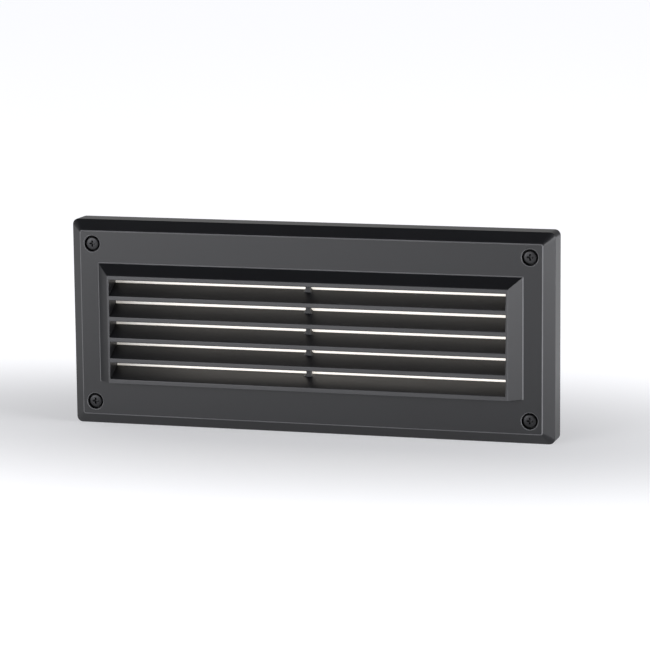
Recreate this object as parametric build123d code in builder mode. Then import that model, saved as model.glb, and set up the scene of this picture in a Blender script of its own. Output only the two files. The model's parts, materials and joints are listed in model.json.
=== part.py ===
from build123d import *
from math import radians, sin, tan
import os

os.makedirs("parts", exist_ok=True)

# A louvred brick light: a die-cast front on a recess box. Millimetres. X runs along the front,
# Y runs into the wall and Z is up. The origin is the middle of the front, in the plane of the wall.

# Front cover, outside: depths are in front of the wall
COVER_WIDTH = 250.0
COVER_HEIGHT = 105.0
RIM_CORNER = 3.0
RIM_DEPTH = 12.2
FACE_DEPTH = 16.8
BEVEL_INSET = 5.7
FACE_CORNER = 1.0
EDGE_RADIUS = 0.5

# Raised hood and its louvre
HOOD_HALF_WIDTH = 110.1
HOOD_TOP = 31.0
HOOD_BOTTOM = -29.8
HOOD_HEIGHT = 5.9
HOOD_SIDE_SLOPE = 6.7
HOOD_TOP_SLOPE = 5.9
OPENING_HALF_WIDTH = 102.6
LIP_THICKNESS = 2.4
SLAT_PITCH = 10.64
SLAT_COUNT = 4
SLAT_THICKNESS = 2.6
SLAT_ANGLE = 29.7
SLAT_REAR = 12.9
SILL_THICKNESS = 2.1
NOSE_RADIUS = 0.5
RIB_THICKNESS = 2.3
RIB_FRONT = 15.0
RIB_FILLET = 1.5

# Front cover, inside
PLATE_THICKNESS = 3.0
RIM_WALL = 2.5
RIM_THICK_WALL = 4.5
RIM_STEP = 5.0
PAN_CORNER = 1.5
SEAT_DEPTH = 12.0
SEAT_MARGIN = 3.0
BOSS_INNER = 5.0
BOSS_OUTER = 7.8
LOUVRE_REACH = 2.0
SLAT_ROOT = 0.5

# Cover screws, M4, and their sealing washers
SCREW_SPAN_X = 226.4
SCREW_SPAN_Z = 81.0
SCREW_RADIUS = 2.0
SCREW_LENGTH = 20.0
SCREW_HEAD_RADIUS = 3.4
SCREW_HEAD_HEIGHT = 2.4
SCREW_HEAD_CHAMFER = 0.5
SCREW_SIDES = 20
SCREW_RECESS = 0.5
SCREW_CLEARANCE = 0.25
THREAD_CLEARANCE = 0.05
CROSS_LENGTH = 3.8
CROSS_WIDTH = 0.9
CROSS_DEPTH = 1.5
COUNTERBORE_RADIUS = 4.1
COUNTERBORE_CHAMFER = 0.25
WASHER_RADIUS = 3.7
WASHER_THICKNESS = 1.2

# Glass pane, its gasket and its clips
PANE_MARGIN = 5.0
PANE_THICKNESS = 4.0
PANE_CORNER = 2.0
PANE_GASKET_THICKNESS = 1.0
GASKET_SETBACK = 0.6
CLIP_X = 60.0
CLIP_POST_GAP = 5.4
CLIP_POST_SIZE = 6.4
CLIP_WIDTH = 9.0
CLIP_OVERLAP = 3.6
CLIP_TAIL = 3.6
CLIP_THICKNESS = 0.8
CLIP_SCREW_LENGTH = 5.0

# Recess box: depths are behind the face of the wall
FLANGE_THICKNESS = 3.0
FLANGE_GAP = 0.4
FLANGE_CORNER = 4.0
BOX_HALF_WIDTH = 105.0
BOX_HALF_HEIGHT = 38.0
BOX_DEPTH = 52.0
BOX_DRAFT = 1.5
BOX_CORNER = 4.0
BOX_BACK_CHAMFER = 1.5
BOX_WALL = 2.5
BOX_BACK = 3.0
COLUMN_SIZE = 10.0
COLUMN_LENGTH = 12.0
THREAD_DEPTH = 12.0
WEB_X = 107.5
WEB_Z = 36.5
WEB_LENGTH = 14.0
WEB_THICKNESS = 3.0
GUSSET_X = 40.0
GUSSET_THICKNESS = 2.5
GUSSET_REACH = 8.0
GUSSET_LENGTH = 16.0
FIXING_SPAN_X = 160.0
FIXING_SPAN_Z = 86.0
FIXING_RADIUS = 2.25
GASKET_SLACK = 0.1
GASKET_WIDTH = 2.1
GASKET_CORNER = 1.5

# Tray and light source
TRAY_HALF_WIDTH = 101.5
TRAY_HALF_HEIGHT = 34.5
TRAY_CORNER = 2.0
TRAY_SHEET = 1.2
TRAY_FRONT = 1.0
TRAY_MOUTH_HALF_WIDTH = 92.8
TRAY_MOUTH_HALF_HEIGHT = 28.3
TRAY_INNER_SLOPE = 8.6
TRAY_OUTER_SLOPE = 8.7
TRAY_FLOOR = 9.8
TRAY_SCREW_LENGTH = 8.0
POST_X = 98.0
POST_Z = 26.0
POST_SIZE = 7.0
POST_THREAD_DEPTH = 8.0
BOARD_LENGTH = 144.0
BOARD_WIDTH = 30.0
BOARD_THICKNESS = 1.6
BOARD_SCREW_X = 62.0
BOARD_SCREW_LENGTH = 4.0
CHIP_COLUMNS = 12
CHIP_ROWS = 2
CHIP_PITCH_X = 11.6
CHIP_PITCH_Z = 16.0
CHIP_LENGTH = 3.5
CHIP_WIDTH = 2.8
CHIP_HEIGHT = 0.7

# Driver, on the back of the tray
DRIVER_LEFT = -72.0
DRIVER_RIGHT = 6.0
DRIVER_WIDTH = 36.0
DRIVER_HEIGHT = 20.4
DRIVER_STANDOFF = 1.6
DRIVER_CHAMFER = 1.5
LUG_LENGTH = 10.0
LUG_WIDTH = 8.0
LUG_THICKNESS = 2.4
LUG_REACH = 4.0
LUG_Z = 12.0
DRIVER_SCREW_LENGTH = 3.4
GROMMET_X = -78.0
GROMMET_RADIUS = 5.2
GROMMET_WAIST = 4.0
GROMMET_LIP = 1.0
GROMMET_BORE = 3.0

# Terminals and leads
BLOCK_LEFT = 23.5
BLOCK_RIGHT = 45.5
BLOCK_POLES = 3
BLOCK_PITCH = 8.0
BLOCK_HEIGHT = 14.0
BLOCK_CHAMFER = 1.5
BLOCK_EAR = 7.0
BLOCK_EAR_WIDTH = 7.0
BLOCK_EAR_THICKNESS = 2.5
BLOCK_SCREW_LENGTH = 4.6
BLOCK_THREAD_DEPTH = 2.3
WELL_RADIUS = 2.6
WELL_DEPTH = 4.0
FUNNEL_RADIUS = 1.6
FUNNEL_DEPTH = 7.0
TERMINAL_SCREW_RADIUS = 2.4
TERMINAL_SCREW_HEIGHT = 2.0
TERMINAL_SLOT_WIDTH = 0.8
TERMINAL_SLOT_DEPTH = 1.0
EARTH_X = -14.0
EARTH_Z = -24.0
EARTH_BOSS_SIZE = 9.0
EARTH_BOSS_HEIGHT = 4.0
EARTH_THREAD_DEPTH = 6.0
EARTH_SCREW_LENGTH = 6.0
TAG_RADIUS = 3.8
TAG_REACH = -4.0
TAG_TAIL_WIDTH = 3.0
TAG_THICKNESS = 0.8
BARREL_LENGTH = 2.5
BARREL_BORE = 1.05
LEAD_DEPTH = 43.0
LEAD_RADIUS = 1.0
LEAD_BEND = 3.0
LEAD_SIDES = 8
LEAD_TURN = 14.5
DRIVER_LEAD_DEPTH = 24.0
LED_LEAD_RADIUS = 0.7
LED_LEAD_BEND = 2.0
LED_LEAD_Z = 1.5
LEAD_GAP = 0.1
PAD_X = -67.5

# Cable entries, M20
ENTRY_X = 62.0
ENTRY_RADIUS = 10.0
ENTRY_PAD = 30.0
ENTRY_FACE = 53.0
ENTRY_WASHER = 1.5
ENTRY_WASHER_RADIUS = 14.0
GLAND_SIDES = 20
GLAND_ACROSS_FLATS = 26.0
GLAND_STUB = 10.0
GLAND_HEX = 7.0
GLAND_COLLAR = 8.5
GLAND_THROAT = 6.8
COLLAR_RADIUS = 10.5
SEAL_RADIUS = 7.7
SEAL_GAP = 0.05
SEAL_BORE = 5.0
SEAL_STAND = 2.0
SEAL_SINK = 1.5
SLIP_RING = 1.2
RING_RADIUS = 9.3
RING_BORE = 5.6
NUT_GAP = 0.4
NUT_LENGTH = 16.0
NUT_HEX = 9.0
NUT_HOLE = 6.6
DOME_RADIUS = 12.4
DOME_CHAMFER = 2.5
PLUG_RADIUS = 13.0
PLUG_HEAD = 4.0
PLUG_CHAMFER = 1.0
PLUG_STUB = 9.0
PLUG_SLOT_LENGTH = 16.0
PLUG_SLOT_WIDTH = 2.4
PLUG_SLOT_DEPTH = 1.8

# Small screws, M3
SMALL_SCREW_RADIUS = 1.45
SMALL_HOLE_RADIUS = 1.5
SMALL_HEAD_RADIUS = 2.75
SMALL_HEAD_HEIGHT = 1.9
SMALL_SIDES = 12
CLIP_THREAD_DEPTH = 5.4

# Places that follow from the sizes above
HOOD_FRONT = FACE_DEPTH + HOOD_HEIGHT
PLATE_REAR = FACE_DEPTH - PLATE_THICKNESS
SLOPE = tan(radians(SLAT_ANGLE))
LIP_TOP = HOOD_TOP - HOOD_TOP_SLOPE
LIP_BOTTOM = LIP_TOP - LIP_THICKNESS
SILL_TOP = HOOD_BOTTOM + SILL_THICKNESS
FIRST_NOSE = SILL_TOP + SLAT_COUNT * SLAT_PITCH
SEAT_RISE = (HOOD_FRONT - SEAT_DEPTH) * SLOPE
OPENING_REAR_TOP = LIP_BOTTOM + SEAT_RISE
OPENING_REAR_BOTTOM = SILL_TOP + SEAT_RISE
PANE_Z = (OPENING_REAR_TOP + OPENING_REAR_BOTTOM) / 2
PANE_WIDTH = 2 * (OPENING_HALF_WIDTH + PANE_MARGIN)
PANE_HEIGHT = OPENING_REAR_TOP - OPENING_REAR_BOTTOM + 2 * PANE_MARGIN
PANE_FRONT = SEAT_DEPTH - PANE_GASKET_THICKNESS
PANE_REAR = PANE_FRONT - PANE_THICKNESS
CLIP_Z = PANE_HEIGHT / 2 + CLIP_POST_GAP
COUNTERBORE_FLOOR = FACE_DEPTH - SCREW_RECESS - SCREW_HEAD_HEIGHT - WASHER_THICKNESS
FLANGE_WIDTH = COVER_WIDTH - 2 * (RIM_WALL + FLANGE_GAP)
FLANGE_HEIGHT = COVER_HEIGHT - 2 * (RIM_WALL + FLANGE_GAP)
BOX_INSIDE = BOX_DEPTH - BOX_BACK
TRAY_REAR = TRAY_FLOOR + TRAY_SHEET
POST_FRONT = TRAY_FRONT + TRAY_SHEET
BOARD_FRONT = TRAY_FLOOR - BOARD_THICKNESS
DRIVER_MIDDLE = (DRIVER_LEFT + DRIVER_RIGHT) / 2
DRIVER_BACK = TRAY_REAR + DRIVER_STANDOFF + DRIVER_HEIGHT
BLOCK_MIDDLE = (BLOCK_LEFT + BLOCK_RIGHT) / 2
EARTH_SEAT = BOX_INSIDE - EARTH_BOSS_HEIGHT
ENTRY_SEAT = ENTRY_FACE + ENTRY_WASHER
GLAND_HEX_END = ENTRY_SEAT + GLAND_HEX
COLLAR_END = GLAND_HEX_END + GLAND_COLLAR
SEAL_START = GLAND_HEX_END - SEAL_SINK
SEAL_END = COLLAR_END + SEAL_STAND
RING_END = SEAL_END + SLIP_RING
NUT_START = GLAND_HEX_END + NUT_GAP
NUT_END = NUT_START + NUT_LENGTH


def front(depth):
    """The upright plane this far in front of the wall. It faces the viewer, as all planes here do."""
    return Plane.XZ.offset(depth)


def behind(depth):
    """The upright plane this far behind the face of the wall, facing the viewer too."""
    return Plane.XZ.offset(-depth)


def corners(span_x, span_z, middle_z=0.0):
    """The four corners of an upright rectangle round the middle of the front."""
    return [(x * span_x / 2, middle_z + z * span_z / 2) for x in (-1, 1) for z in (-1, 1)]


def finish(piece, name):
    """Names a finished piece and writes it."""
    piece.part.label = name
    export_step(piece.part, f"parts/{name}.step")


SCREW_PLACES = corners(SCREW_SPAN_X, SCREW_SPAN_Z)
CLIP_PLACES = corners(2 * CLIP_X, 2 * CLIP_Z, PANE_Z)
POST_PLACES = corners(2 * POST_X, 2 * POST_Z)
BOARD_SCREW_PLACES = [(x, 0) for x in (-BOARD_SCREW_X, 0, BOARD_SCREW_X)]
DRIVER_SCREW_PLACES = [(DRIVER_LEFT - LUG_REACH, LUG_Z), (DRIVER_RIGHT + LUG_REACH, -LUG_Z)]
TERMINAL_PLACES = [(BLOCK_MIDDLE, BLOCK_PITCH * pole) for pole in (-1, 0, 1)]
BLOCK_SCREW_PLACES = [(BLOCK_MIDDLE, side * (BLOCK_POLES * BLOCK_PITCH + BLOCK_EAR) / 2) for side in (-1, 1)]


# Front cover: one die casting with a bevelled rim, a raised hood and a louvre of sloped slats.
# The solid outside comes first with its edge radii, then the pan behind it, then the louvre.
def slat_section(nose_top):
    """The corners of a slat seen from the side: it falls forwards from its rear edge to a blunt nose."""
    rise = (HOOD_FRONT - SLAT_REAR) * SLOPE
    return [
        (-HOOD_FRONT, nose_top),
        (-SLAT_REAR, nose_top + rise),
        (-SLAT_REAR, nose_top + rise - SLAT_THICKNESS),
        (-HOOD_FRONT, nose_top - SLAT_THICKNESS),
    ]


def runs_down_a_slat(edge):
    """Whether a straight edge has the slope of the slats."""
    start, end = edge @ 0, edge @ 1
    return round(abs(end.Z - start.Z) / edge.length, 2) == round(sin(radians(SLAT_ANGLE)), 2)


with BuildPart() as louvre_cover:
    with BuildSketch(Plane.XZ):
        RectangleRounded(COVER_WIDTH, COVER_HEIGHT, RIM_CORNER)
    extrude(amount=RIM_DEPTH)
    with BuildSketch(front(RIM_DEPTH)):
        RectangleRounded(COVER_WIDTH, COVER_HEIGHT, RIM_CORNER)
    with BuildSketch(front(FACE_DEPTH)):
        RectangleRounded(COVER_WIDTH - 2 * BEVEL_INSET, COVER_HEIGHT - 2 * BEVEL_INSET, FACE_CORNER)
    loft(ruled=True)
    fillet(louvre_cover.edges().filter_by_position(Axis.Y, -FACE_DEPTH, -FACE_DEPTH), EDGE_RADIUS)

    with BuildSketch(front(FACE_DEPTH)):
        with Locations((0, (HOOD_TOP + HOOD_BOTTOM) / 2)):
            Rectangle(2 * HOOD_HALF_WIDTH, HOOD_TOP - HOOD_BOTTOM)
    with BuildSketch(front(HOOD_FRONT)):
        with Locations((0, (LIP_TOP + HOOD_BOTTOM) / 2)):
            Rectangle(2 * (HOOD_HALF_WIDTH - HOOD_SIDE_SLOPE), LIP_TOP - HOOD_BOTTOM)
    loft(ruled=True)
    ridges = louvre_cover.edges().filter_by_position(Axis.Y, -HOOD_FRONT, -FACE_DEPTH, (True, False))
    fillet(ridges.filter_by_position(Axis.Z, HOOD_BOTTOM, HOOD_TOP, (False, True)), EDGE_RADIUS)

    with BuildSketch(Plane.XZ):
        RectangleRounded(COVER_WIDTH - 2 * RIM_WALL, COVER_HEIGHT - 2 * RIM_WALL, PAN_CORNER)
    extrude(amount=RIM_STEP, mode=Mode.SUBTRACT)
    with BuildSketch(front(RIM_STEP)):
        Rectangle(COVER_WIDTH - 2 * RIM_THICK_WALL, COVER_HEIGHT - 2 * RIM_THICK_WALL)
    extrude(amount=PLATE_REAR - RIM_STEP, mode=Mode.SUBTRACT)

    # Raised seat for the pane, screw bosses in the corners and posts for the pane's clips
    with BuildSketch(front(SEAT_DEPTH)):
        with Locations((0, PANE_Z)):
            Rectangle(PANE_WIDTH + SEAT_MARGIN, PANE_HEIGHT + SEAT_MARGIN)
    extrude(amount=PLATE_REAR - SEAT_DEPTH)
    with BuildSketch(front(RIM_STEP)):
        shift = BOSS_OUTER - BOSS_INNER
        with Locations(corners(SCREW_SPAN_X + shift, SCREW_SPAN_Z + shift)):
            Rectangle(BOSS_INNER + BOSS_OUTER, BOSS_INNER + BOSS_OUTER)
    extrude(amount=PLATE_REAR - RIM_STEP)
    with BuildSketch(front(FLANGE_THICKNESS)):
        with Locations(SCREW_PLACES):
            Rectangle(2 * BOSS_INNER, 2 * BOSS_INNER)
    extrude(amount=RIM_STEP - FLANGE_THICKNESS)
    with BuildSketch(front(PANE_REAR)):
        with Locations(CLIP_PLACES):
            Rectangle(CLIP_POST_SIZE, CLIP_POST_SIZE)
    extrude(amount=PLATE_REAR - PANE_REAR)
    with BuildSketch(front(PANE_REAR)):
        with Locations(CLIP_PLACES):
            RegularPolygon(SMALL_HOLE_RADIUS, SMALL_SIDES)
    extrude(amount=CLIP_THREAD_DEPTH, mode=Mode.SUBTRACT)
    with BuildSketch(front(FACE_DEPTH)):
        with Locations(SCREW_PLACES):
            Circle(COUNTERBORE_RADIUS)
    extrude(amount=COUNTERBORE_FLOOR - FACE_DEPTH, mode=Mode.SUBTRACT)
    with BuildSketch(front(COUNTERBORE_FLOOR)):
        with Locations(SCREW_PLACES):
            RegularPolygon(SCREW_RADIUS + SCREW_CLEARANCE, SCREW_SIDES, major_radius=False)
    extrude(amount=FLANGE_THICKNESS - COUNTERBORE_FLOOR, mode=Mode.SUBTRACT)
    mouths = louvre_cover.edges().filter_by(GeomType.CIRCLE)
    mouths = mouths.filter_by_position(Axis.Y, -FACE_DEPTH, -FACE_DEPTH)
    chamfer(mouths.filter_by(lambda e: e.radius > SCREW_HEAD_RADIUS), COUNTERBORE_CHAMFER)

    # One sloped channel goes right through the hood; the slats, the sill and the rib stand in it
    with BuildSketch(Plane.YZ):
        with BuildLine():
            Polyline(
                (-HOOD_FRONT - LOUVRE_REACH, SILL_TOP - LOUVRE_REACH * SLOPE),
                (-HOOD_FRONT - LOUVRE_REACH, LIP_BOTTOM - LOUVRE_REACH * SLOPE),
                (-SEAT_DEPTH + LOUVRE_REACH, OPENING_REAR_TOP + LOUVRE_REACH * SLOPE),
                (-SEAT_DEPTH + LOUVRE_REACH, OPENING_REAR_BOTTOM + LOUVRE_REACH * SLOPE),
                close=True,
            )
        make_face()
    extrude(amount=OPENING_HALF_WIDTH, both=True, mode=Mode.SUBTRACT)
    with BuildSketch(Plane.YZ):
        for step in range(SLAT_COUNT):
            with BuildLine():
                Polyline(*slat_section(FIRST_NOSE - step * SLAT_PITCH), close=True)
            make_face()
    extrude(amount=OPENING_HALF_WIDTH + SLAT_ROOT, both=True)
    noses = louvre_cover.edges().filter_by(Axis.X).filter_by_position(Axis.Y, -HOOD_FRONT, -HOOD_FRONT)
    fillet(noses.filter_by_position(Axis.Z, HOOD_BOTTOM, HOOD_TOP, (False, False)), NOSE_RADIUS)
    with BuildSketch(front(SLAT_REAR)):
        with Locations((0, (OPENING_REAR_TOP + SILL_TOP) / 2)):
            Rectangle(RIB_THICKNESS, OPENING_REAR_TOP - SILL_TOP)
    extrude(amount=RIB_FRONT - SLAT_REAR)
    for x in (-RIB_THICKNESS / 2, RIB_THICKNESS / 2):
        fillet(louvre_cover.edges().filter_by_position(Axis.X, x, x).filter_by(runs_down_a_slat), RIB_FILLET)
finish(louvre_cover, "louvre_cover")


# Glass pane: frosted, in a raised seat behind the louvre, on a flat silicone gasket
with BuildPart() as glass_gasket:
    with BuildSketch(front(PANE_FRONT)):
        with Locations((0, PANE_Z)):
            Rectangle(PANE_WIDTH - 2 * GASKET_SETBACK, PANE_HEIGHT - 2 * GASKET_SETBACK)
            Rectangle(
                PANE_WIDTH - 2 * (PANE_MARGIN - GASKET_SETBACK),
                PANE_HEIGHT - 2 * (PANE_MARGIN - GASKET_SETBACK),
                mode=Mode.SUBTRACT,
            )
    extrude(amount=PANE_GASKET_THICKNESS)
finish(glass_gasket, "glass_gasket")

with BuildPart() as glass_pane:
    with BuildSketch(front(PANE_REAR)):
        with Locations((0, PANE_Z)):
            pane = Rectangle(PANE_WIDTH, PANE_HEIGHT)
        chamfer(pane.vertices(), PANE_CORNER)
    extrude(amount=PANE_THICKNESS)
finish(glass_pane, "glass_pane")

# Four spring-steel clips lie on the posts and lap over the back of the pane
with BuildPart() as glass_clips:
    with BuildSketch(front(PANE_REAR - CLIP_THICKNESS)):
        for side in (-1, 1):
            middle = side * (CLIP_Z + (CLIP_TAIL - CLIP_POST_GAP - CLIP_OVERLAP) / 2)
            with Locations([(x, PANE_Z + middle) for x in (-CLIP_X, CLIP_X)]):
                Rectangle(CLIP_WIDTH, CLIP_POST_GAP + CLIP_OVERLAP + CLIP_TAIL)
        with Locations(CLIP_PLACES):
            RegularPolygon(SMALL_HOLE_RADIUS, SMALL_SIDES, mode=Mode.SUBTRACT)
    extrude(amount=CLIP_THICKNESS)
finish(glass_clips, "glass_clips")


def small_screws(seat_depth, places, length, towards_viewer):
    """Pan-head M3 screws on a shared seat. The head stands on the side towards_viewer says.

    They are small and many, so they and their holes are drawn with flat sides.
    """
    way = 1 if towards_viewer else -1
    with BuildPart() as screws:
        with BuildSketch(front(seat_depth)):
            with Locations(places):
                RegularPolygon(SMALL_HEAD_RADIUS, SMALL_SIDES)
        extrude(amount=way * SMALL_HEAD_HEIGHT)
        with BuildSketch(front(seat_depth)):
            with Locations(places):
                RegularPolygon(SMALL_SCREW_RADIUS, SMALL_SIDES)
        extrude(amount=-way * length)
    return screws


glass_clip_screws = small_screws(PANE_REAR - CLIP_THICKNESS, CLIP_PLACES, CLIP_SCREW_LENGTH, False)
finish(glass_clip_screws, "glass_clip_screws")


# Cover screws: M4 cheese heads with a cross recess. Each draws a rubber washer down on the floor of
# its counterbore, and the washer's grip on the shank keeps the screw in the cover when that comes off.
def cover_screw(x, z):
    """One cover screw, with its head just below the face of the cover."""
    seat = COUNTERBORE_FLOOR + WASHER_THICKNESS
    with BuildPart() as screw:
        with BuildSketch(front(seat)):
            with Locations((x, z)):
                RegularPolygon(SCREW_HEAD_RADIUS, SCREW_SIDES)
        extrude(amount=SCREW_HEAD_HEIGHT)
        chamfer(screw.faces().sort_by(Axis.Y)[0].edges(), SCREW_HEAD_CHAMFER)
        with BuildSketch(front(seat + SCREW_HEAD_HEIGHT)):
            with Locations((x, z)):
                Rectangle(CROSS_LENGTH, CROSS_WIDTH)
                Rectangle(CROSS_WIDTH, CROSS_LENGTH)
        extrude(amount=-CROSS_DEPTH, mode=Mode.SUBTRACT)
        with BuildSketch(front(seat)):
            with Locations((x, z)):
                RegularPolygon(SCREW_RADIUS, SCREW_SIDES)
        extrude(amount=-SCREW_LENGTH)
    return screw


def screw_washer(x, z):
    """The sealing washer that lies under the head of a cover screw."""
    with BuildPart() as washer:
        with BuildSketch(front(COUNTERBORE_FLOOR)):
            with Locations((x, z)):
                RegularPolygon(WASHER_RADIUS, SCREW_SIDES)
                RegularPolygon(
                    SCREW_RADIUS + THREAD_CLEARANCE, SCREW_SIDES, major_radius=False, mode=Mode.SUBTRACT
                )
        extrude(amount=WASHER_THICKNESS)
    return washer


for x, z in SCREW_PLACES:
    corner = ("top" if z > 0 else "bottom") + ("_left" if x < 0 else "_right")
    finish(cover_screw(x, z), f"cover_screw_{corner}")
    finish(screw_washer(x, z), f"screw_washer_{corner}")


# Recess box: a die-cast box with draft, a flange that lies on the wall and tapped columns for the
# cover screws. The tray stands on four inner posts, and two tapped entries open through the back.
with BuildPart() as housing:
    with BuildSketch(Plane.XZ):
        RectangleRounded(FLANGE_WIDTH, FLANGE_HEIGHT, FLANGE_CORNER)
    extrude(amount=FLANGE_THICKNESS)
    with BuildSketch(behind(BOX_DEPTH)):
        back = Rectangle(2 * (BOX_HALF_WIDTH - BOX_DRAFT), 2 * (BOX_HALF_HEIGHT - BOX_DRAFT))
        chamfer(back.vertices(), BOX_CORNER)
    with BuildSketch(Plane.XZ):
        mouth = Rectangle(2 * BOX_HALF_WIDTH, 2 * BOX_HALF_HEIGHT)
        chamfer(mouth.vertices(), BOX_CORNER)
    loft(ruled=True)
    back_rim = housing.edges().filter_by_position(Axis.Y, BOX_DEPTH, BOX_DEPTH)
    chamfer(back_rim, BOX_BACK_CHAMFER)
    with BuildSketch(behind(COLUMN_LENGTH)):
        with Locations(SCREW_PLACES):
            Rectangle(COLUMN_SIZE, COLUMN_SIZE)
        for side in (-1, 1):
            with Locations([(x * WEB_X, side * WEB_Z) for x in (-1, 1)]):
                Rectangle(WEB_LENGTH, WEB_THICKNESS)
    extrude(amount=COLUMN_LENGTH)
    for x in (-GUSSET_X, 0, GUSSET_X):
        for side in (-1, 1):
            with BuildSketch(Plane.YZ.offset(x - GUSSET_THICKNESS / 2)):
                with BuildLine():
                    Polyline(
                        (0, side * (BOX_HALF_HEIGHT - BOX_WALL)),
                        (0, side * (BOX_HALF_HEIGHT + GUSSET_REACH)),
                        (GUSSET_LENGTH, side * (BOX_HALF_HEIGHT - BOX_WALL)),
                        close=True,
                    )
                make_face()
            extrude(amount=GUSSET_THICKNESS)
    with BuildSketch(behind(ENTRY_FACE)):
        with Locations([(x, 0) for x in (-ENTRY_X, ENTRY_X)]):
            Rectangle(ENTRY_PAD, ENTRY_PAD)
    extrude(amount=ENTRY_FACE - BOX_INSIDE)
    with BuildSketch(behind(BOX_INSIDE)):
        Rectangle(2 * (BOX_HALF_WIDTH - BOX_DRAFT - BOX_WALL), 2 * (BOX_HALF_HEIGHT - BOX_DRAFT - BOX_WALL))
    with BuildSketch(front(FLANGE_THICKNESS)):
        Rectangle(2 * (BOX_HALF_WIDTH - BOX_WALL), 2 * (BOX_HALF_HEIGHT - BOX_WALL))
    loft(ruled=True, mode=Mode.SUBTRACT)
    with BuildSketch(behind(BOX_INSIDE)):
        with Locations(POST_PLACES):
            Rectangle(POST_SIZE, POST_SIZE)
    extrude(amount=BOX_INSIDE - POST_FRONT)
    with BuildSketch(behind(BOX_INSIDE)):
        with Locations((EARTH_X, EARTH_Z)):
            Rectangle(EARTH_BOSS_SIZE, EARTH_BOSS_SIZE)
    extrude(amount=EARTH_BOSS_HEIGHT)

    # Tapped holes, drawn with flat sides but for the four round ones that fix the box to the wall
    for depth, places, length in (
        (POST_FRONT, POST_PLACES, POST_THREAD_DEPTH),
        (EARTH_SEAT, [(EARTH_X, EARTH_Z)], EARTH_THREAD_DEPTH),
        (BOX_INSIDE, BLOCK_SCREW_PLACES, BLOCK_THREAD_DEPTH),
    ):
        with BuildSketch(behind(depth)):
            with Locations(places):
                RegularPolygon(SMALL_HOLE_RADIUS, SMALL_SIDES)
        extrude(amount=-length, mode=Mode.SUBTRACT)
    with BuildSketch(behind(ENTRY_FACE)):
        with Locations([(x, 0) for x in (-ENTRY_X, ENTRY_X)]):
            RegularPolygon(ENTRY_RADIUS, GLAND_SIDES)
    extrude(amount=ENTRY_FACE - BOX_INSIDE, mode=Mode.SUBTRACT)
    with BuildSketch(front(FLANGE_THICKNESS)):
        with Locations(SCREW_PLACES):
            RegularPolygon(SCREW_RADIUS + THREAD_CLEARANCE, SCREW_SIDES, major_radius=False)
    extrude(amount=-THREAD_DEPTH, mode=Mode.SUBTRACT)
    with Locations(front(FLANGE_THICKNESS)):
        with Locations(corners(FIXING_SPAN_X, FIXING_SPAN_Z)):
            Hole(FIXING_RADIUS)
finish(housing, "housing")

with BuildPart() as housing_gasket:
    with BuildSketch(front(FLANGE_THICKNESS)):
        gasket = Rectangle(FLANGE_WIDTH - 2 * GASKET_SLACK, FLANGE_HEIGHT - 2 * GASKET_SLACK)
        chamfer(gasket.vertices(), GASKET_CORNER)
        Rectangle(
            FLANGE_WIDTH - 2 * (GASKET_SLACK + GASKET_WIDTH),
            FLANGE_HEIGHT - 2 * (GASKET_SLACK + GASKET_WIDTH),
            mode=Mode.SUBTRACT,
        )
    extrude(amount=RIM_STEP - FLANGE_THICKNESS)
finish(housing_gasket, "housing_gasket")


# Tray: white-painted sheet, folded to a shallow pan whose sloped walls throw the light forwards
with BuildPart() as pan_room:
    with BuildSketch(behind(TRAY_FLOOR)):
        Rectangle(2 * TRAY_MOUTH_HALF_WIDTH, 2 * TRAY_MOUTH_HALF_HEIGHT)
    extrude(amount=TRAY_FLOOR - TRAY_FRONT)
    chamfer(pan_room.faces().sort_by(Axis.Y)[-1].edges(), TRAY_INNER_SLOPE)

with BuildPart() as reflector_tray:
    with BuildSketch(behind(POST_FRONT)):
        sheet = Rectangle(2 * TRAY_HALF_WIDTH, 2 * TRAY_HALF_HEIGHT)
        chamfer(sheet.vertices(), TRAY_CORNER)
    extrude(amount=TRAY_SHEET)
    with BuildSketch(behind(TRAY_REAR)):
        Rectangle(2 * TRAY_MOUTH_HALF_WIDTH + TRAY_SHEET, 2 * TRAY_MOUTH_HALF_HEIGHT + TRAY_SHEET)
    extrude(amount=TRAY_REAR - TRAY_FRONT)
    chamfer(reflector_tray.faces().sort_by(Axis.Y)[-1].edges(), TRAY_OUTER_SLOPE)
    add(pan_room.part, mode=Mode.SUBTRACT)
    for depth, places, radius in (
        (TRAY_FRONT, POST_PLACES, SMALL_HOLE_RADIUS),
        (TRAY_FLOOR, BOARD_SCREW_PLACES + DRIVER_SCREW_PLACES, SMALL_HOLE_RADIUS),
        (TRAY_FLOOR, [(GROMMET_X, 0)], GROMMET_WAIST),
    ):
        with BuildSketch(behind(depth)):
            with Locations(places):
                RegularPolygon(radius, SMALL_SIDES)
        extrude(amount=-TRAY_SHEET, mode=Mode.SUBTRACT)
finish(reflector_tray, "reflector_tray")

tray_screws = small_screws(-TRAY_FRONT, POST_PLACES, TRAY_SCREW_LENGTH, True)
finish(tray_screws, "tray_screws")

with BuildPart() as led_board:
    with BuildSketch(behind(TRAY_FLOOR)):
        Rectangle(BOARD_LENGTH, BOARD_WIDTH)
        with Locations(BOARD_SCREW_PLACES):
            RegularPolygon(SMALL_HOLE_RADIUS, SMALL_SIDES, mode=Mode.SUBTRACT)
    extrude(amount=BOARD_THICKNESS)
finish(led_board, "led_board")

led_board_screws = small_screws(-BOARD_FRONT, BOARD_SCREW_PLACES, BOARD_SCREW_LENGTH, True)
finish(led_board_screws, "led_board_screws")

with BuildPart() as led_chips:
    with BuildSketch(behind(BOARD_FRONT)):
        with GridLocations(CHIP_PITCH_X, CHIP_PITCH_Z, CHIP_COLUMNS, CHIP_ROWS):
            Rectangle(CHIP_LENGTH, CHIP_WIDTH)
    extrude(amount=CHIP_HEIGHT)
finish(led_chips, "led_chips")


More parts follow.
